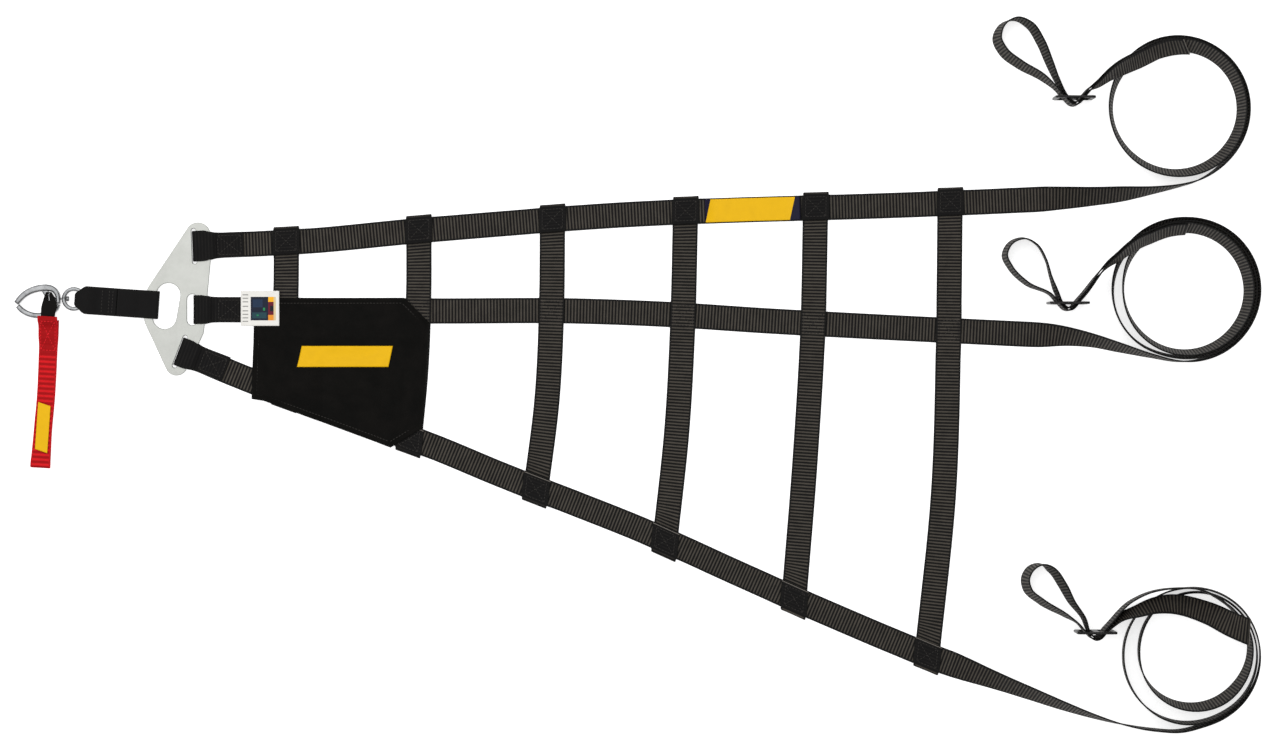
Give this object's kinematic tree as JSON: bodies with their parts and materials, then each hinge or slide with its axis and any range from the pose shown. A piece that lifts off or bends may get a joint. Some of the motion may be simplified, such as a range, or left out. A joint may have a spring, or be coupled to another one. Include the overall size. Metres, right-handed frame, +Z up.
{
  "type": "racing window net",
  "caption": "Racing window net of black webbing with a metal plate, quick shackle, red pull ribbon and three coiled tails with slides, laid flat.",
  "frame": {"origin": "middle of the net's footprint, on the surface it lies on", "axes": "+X from the shackle and plate towards the coiled tails, +Y across the net towards the upper strap, +Z up"},
  "size_m": [1.2452, 0.7115, 0.053],
  "materials": {
    "webbing": "ribbed webbing",
    "black_cloth": "plain black cloth",
    "red_ribbon": "ribbed red webbing",
    "yellow_label": "printed label cloth, yellow",
    "white_label": "printed label cloth, white",
    "satin_steel": "satin",
    "polished_steel": "polished stainless steel",
    "blackened_steel": "black coated steel, worn edges"
  },
  "bodies": {
    "root": {"upper_strap": "webbing", "upper_coil": "webbing", "upper_loop": "webbing", "middle_strap": "webbing", "middle_coil": "webbing", "middle_loop": "webbing", "lower_strap": "webbing", "lower_coil": "webbing", "lower_loop": "webbing", "cross_strap_1": "webbing", "cross_strap_2": "webbing", "cross_strap_3": "webbing", "cross_strap_4": "webbing", "cross_strap_5": "webbing", "cross_strap_6": "webbing", "upper_slide": "blackened_steel", "middle_slide": "blackened_steel", "lower_slide": "blackened_steel", "plate": "satin_steel", "tab": "webbing", "swivel_eye": "polished_steel", "swivel_post": "polished_steel", "shackle_body": "polished_steel", "shackle_gate": "polished_steel", "hinge_pin": "polished_steel", "trigger": "polished_steel", "lashing": "black_cloth", "ribbon": "red_ribbon", "ribbon_label": "yellow_label", "pad": "black_cloth", "pad_label": "yellow_label", "foil_label": "white_label", "strap_label": "yellow_label"}
  },
  "joints": []
}
